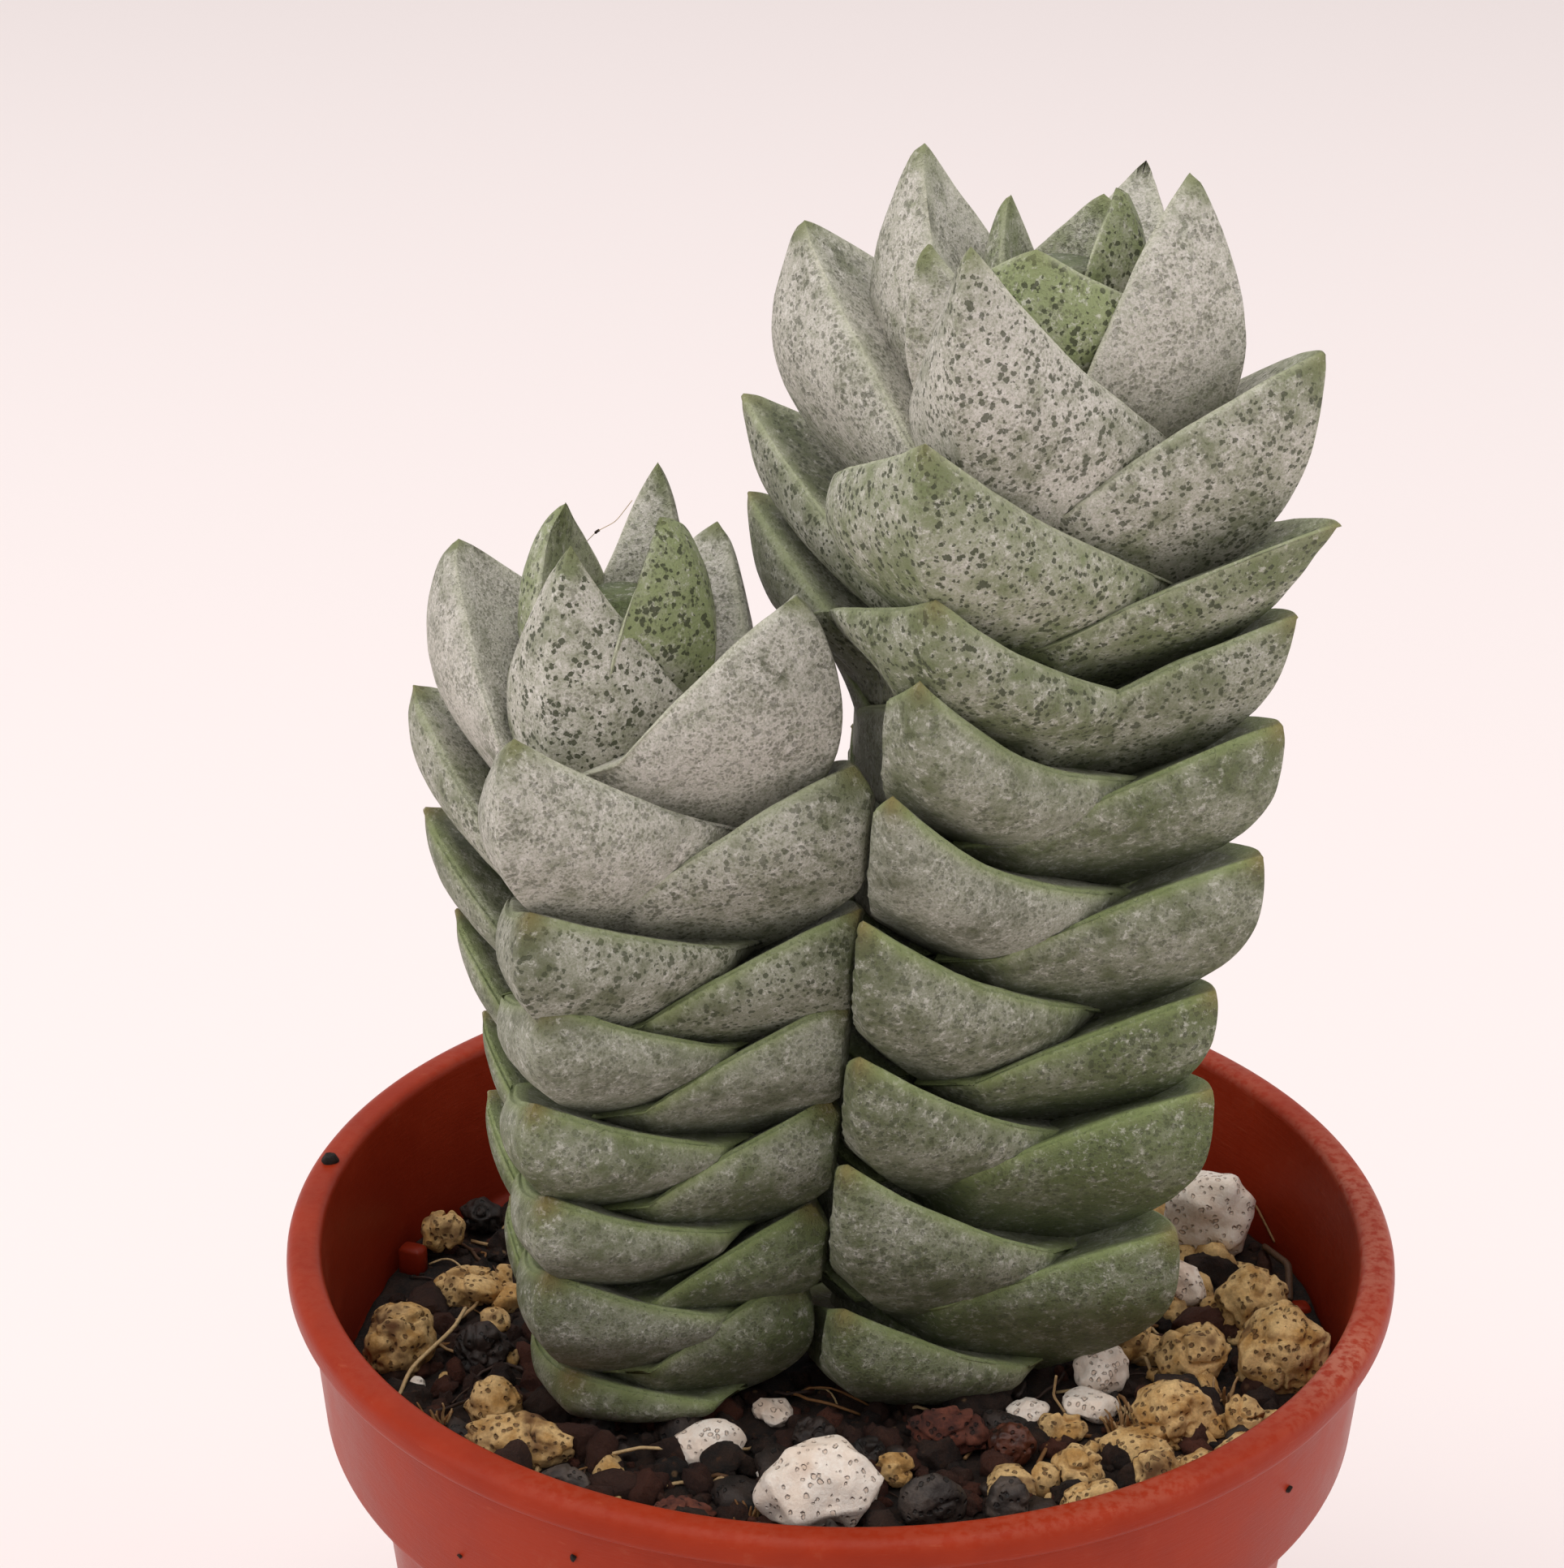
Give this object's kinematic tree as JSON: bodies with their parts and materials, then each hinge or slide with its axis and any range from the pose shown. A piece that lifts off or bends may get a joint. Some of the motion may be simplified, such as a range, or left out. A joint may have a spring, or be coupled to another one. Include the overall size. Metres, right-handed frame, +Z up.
{
  "type": "potted succulent",
  "caption": "Potted crassula deceptor: leafy columns of thick, dotted, grey-green leaves in a plastic nursery pot with soil and loose grit.",
  "frame": {"origin": "centre of the pot's underside, on the surface that the pot stands on", "axes": "+Z up along the pot's axis; -Y is the front that the picture shows, with the tall stem at +X and the short stem at -X"},
  "size_m": [0.0548, 0.055, 0.102],
  "materials": {
    "pot_plastic": "satin terracotta-orange plastic with fine scratches and dust",
    "soil": "dark fibrous potting mix, matte",
    "leaf_skin": "grey-green leaf skin under a pale matte powder, with dark green dots",
    "pumice": "rough white pumice",
    "ochre_grit": "rough ochre grit",
    "lava": "rough red-brown lava",
    "charcoal": "dull charcoal-black",
    "slate": "split grey slate",
    "bark": "dark bark, a little glossy"
  },
  "bodies": {
    "root": {"pot": "pot_plastic", "soil": "soil", "tall_stem": "leaf_skin", "short_stem": "leaf_skin", "white_pumice_01": "pumice", "white_pumice_02": "pumice", "white_pumice_03": "pumice", "white_pumice_04": "pumice", "white_pumice_05": "pumice", "white_pumice_06": "pumice", "white_pumice_07": "pumice", "white_pumice_08": "pumice", "ochre_grit_01": "ochre_grit", "ochre_grit_02": "ochre_grit", "ochre_grit_03": "ochre_grit", "ochre_grit_04": "ochre_grit", "ochre_grit_05": "ochre_grit", "ochre_grit_06": "ochre_grit", "ochre_grit_07": "ochre_grit", "ochre_grit_08": "ochre_grit", "ochre_grit_09": "ochre_grit", "ochre_grit_10": "ochre_grit", "ochre_grit_11": "ochre_grit", "ochre_grit_12": "ochre_grit", "ochre_grit_13": "ochre_grit", "ochre_grit_14": "ochre_grit", "ochre_grit_15": "ochre_grit", "ochre_grit_16": "ochre_grit", "lava_chip_01": "charcoal", "lava_chip_02": "lava", "lava_chip_03": "charcoal", "lava_chip_04": "charcoal", "lava_chip_05": "charcoal", "lava_chip_06": "lava", "slate_chip_01": "slate", "slate_chip_02": "slate", "slate_chip_03": "slate", "bark_chip_01": "bark"}
  },
  "joints": []
}
